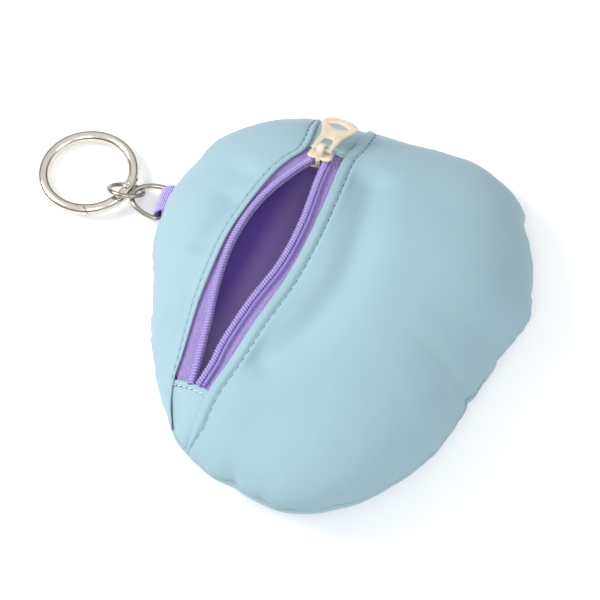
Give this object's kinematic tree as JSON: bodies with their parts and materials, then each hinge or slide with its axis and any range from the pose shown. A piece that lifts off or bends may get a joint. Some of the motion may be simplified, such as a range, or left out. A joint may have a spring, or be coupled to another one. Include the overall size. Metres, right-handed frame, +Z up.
{
  "type": "zipped carabiner pouch",
  "caption": "Round padded fabric pouch with an arched zipper, a painted slider and pull, and a metal spring-gate ring on a webbing loop.",
  "frame": {"origin": "middle of the flat underside that the pouch lies on", "axes": "+Z up out of the mouth side; +Y towards the slider end of the zipper; +X towards the wide panel"},
  "size_m": [0.1643, 0.1537, 0.036],
  "materials": {
    "cloth": "matte woven",
    "wadding": "soft felt",
    "lining": "matte",
    "tape": "matte woven",
    "coil": "satin",
    "webbing": "ribbed",
    "paint": "satin enamel",
    "metal": "polished nickel"
  },
  "bodies": {
    "pouch": {"shell_underside": "cloth", "shell_wide_panel": "cloth", "shell_side_panel": "cloth", "end_tab_upper": "cloth", "end_tab_lower": "cloth", "wadding_underside": "wadding", "wadding_wide_panel": "wadding", "wadding_side_panel": "wadding", "lining_underside": "lining", "lining_top": "lining", "zipper_tape_left": "tape", "zipper_tape_right": "tape", "zipper_coil_left": "coil", "zipper_coil_right": "coil", "webbing_loop": "webbing"},
    "slider": {"zipper_slider": "paint"},
    "pull": {"pull_tab": "paint"},
    "d_ring_body": {"d_ring": "metal"},
    "jump_ring_body": {"jump_ring": "metal"},
    "clasp": {"clasp_ring": "metal", "gate_rivet": "metal"},
    "gate": {"clasp_gate": "metal"}
  },
  "joints": [
    {"name": "slider_travel", "type": "hinge", "parent": "pouch", "child": "slider", "pos_m": [-0.0105, 0.00611, -0.12586], "axis": [0.8971, -0.4281, 0.1095], "range_deg": [0, 32.27], "deforming": ["zipper_tape_left", "zipper_tape_right", "zipper_coil_left", "zipper_coil_right"]},
    {"name": "pull_swing", "type": "hinge", "parent": "slider", "child": "pull", "pos_m": [-0.0074, 0.05313, 0.03266], "axis": [0.8971, -0.4281, 0.1095], "range_deg": [-4, 160]},
    {"name": "d_ring_swing", "type": "hinge", "parent": "pouch", "child": "d_ring_body", "pos_m": [-0.05961, 0.05041, 0.0043], "axis": [0.274, 0.9617, 0], "range_deg": [-70, 60]},
    {"name": "jump_ring_swing", "type": "hinge", "parent": "d_ring_body", "child": "jump_ring_body", "pos_m": [-0.06963, 0.05326, 0.00558], "axis": [0.274, 0.9617, 0], "range_deg": [-10, 20]},
    {"name": "clasp_swing", "type": "hinge", "parent": "jump_ring_body", "child": "clasp", "pos_m": [-0.07216, 0.05724, 0.00245], "axis": [0.433, 0.75, 0.5], "range_deg": [-20, 28]},
    {"name": "gate_open", "type": "hinge", "parent": "clasp", "child": "gate", "pos_m": [-0.07193, 0.05726, 0.00397], "axis": [0.0554, -0.0374, -0.9978], "range_deg": [0, 18], "stiffness_Nm_per_rad": 0.02, "springref_deg": -17.19}
  ]
}
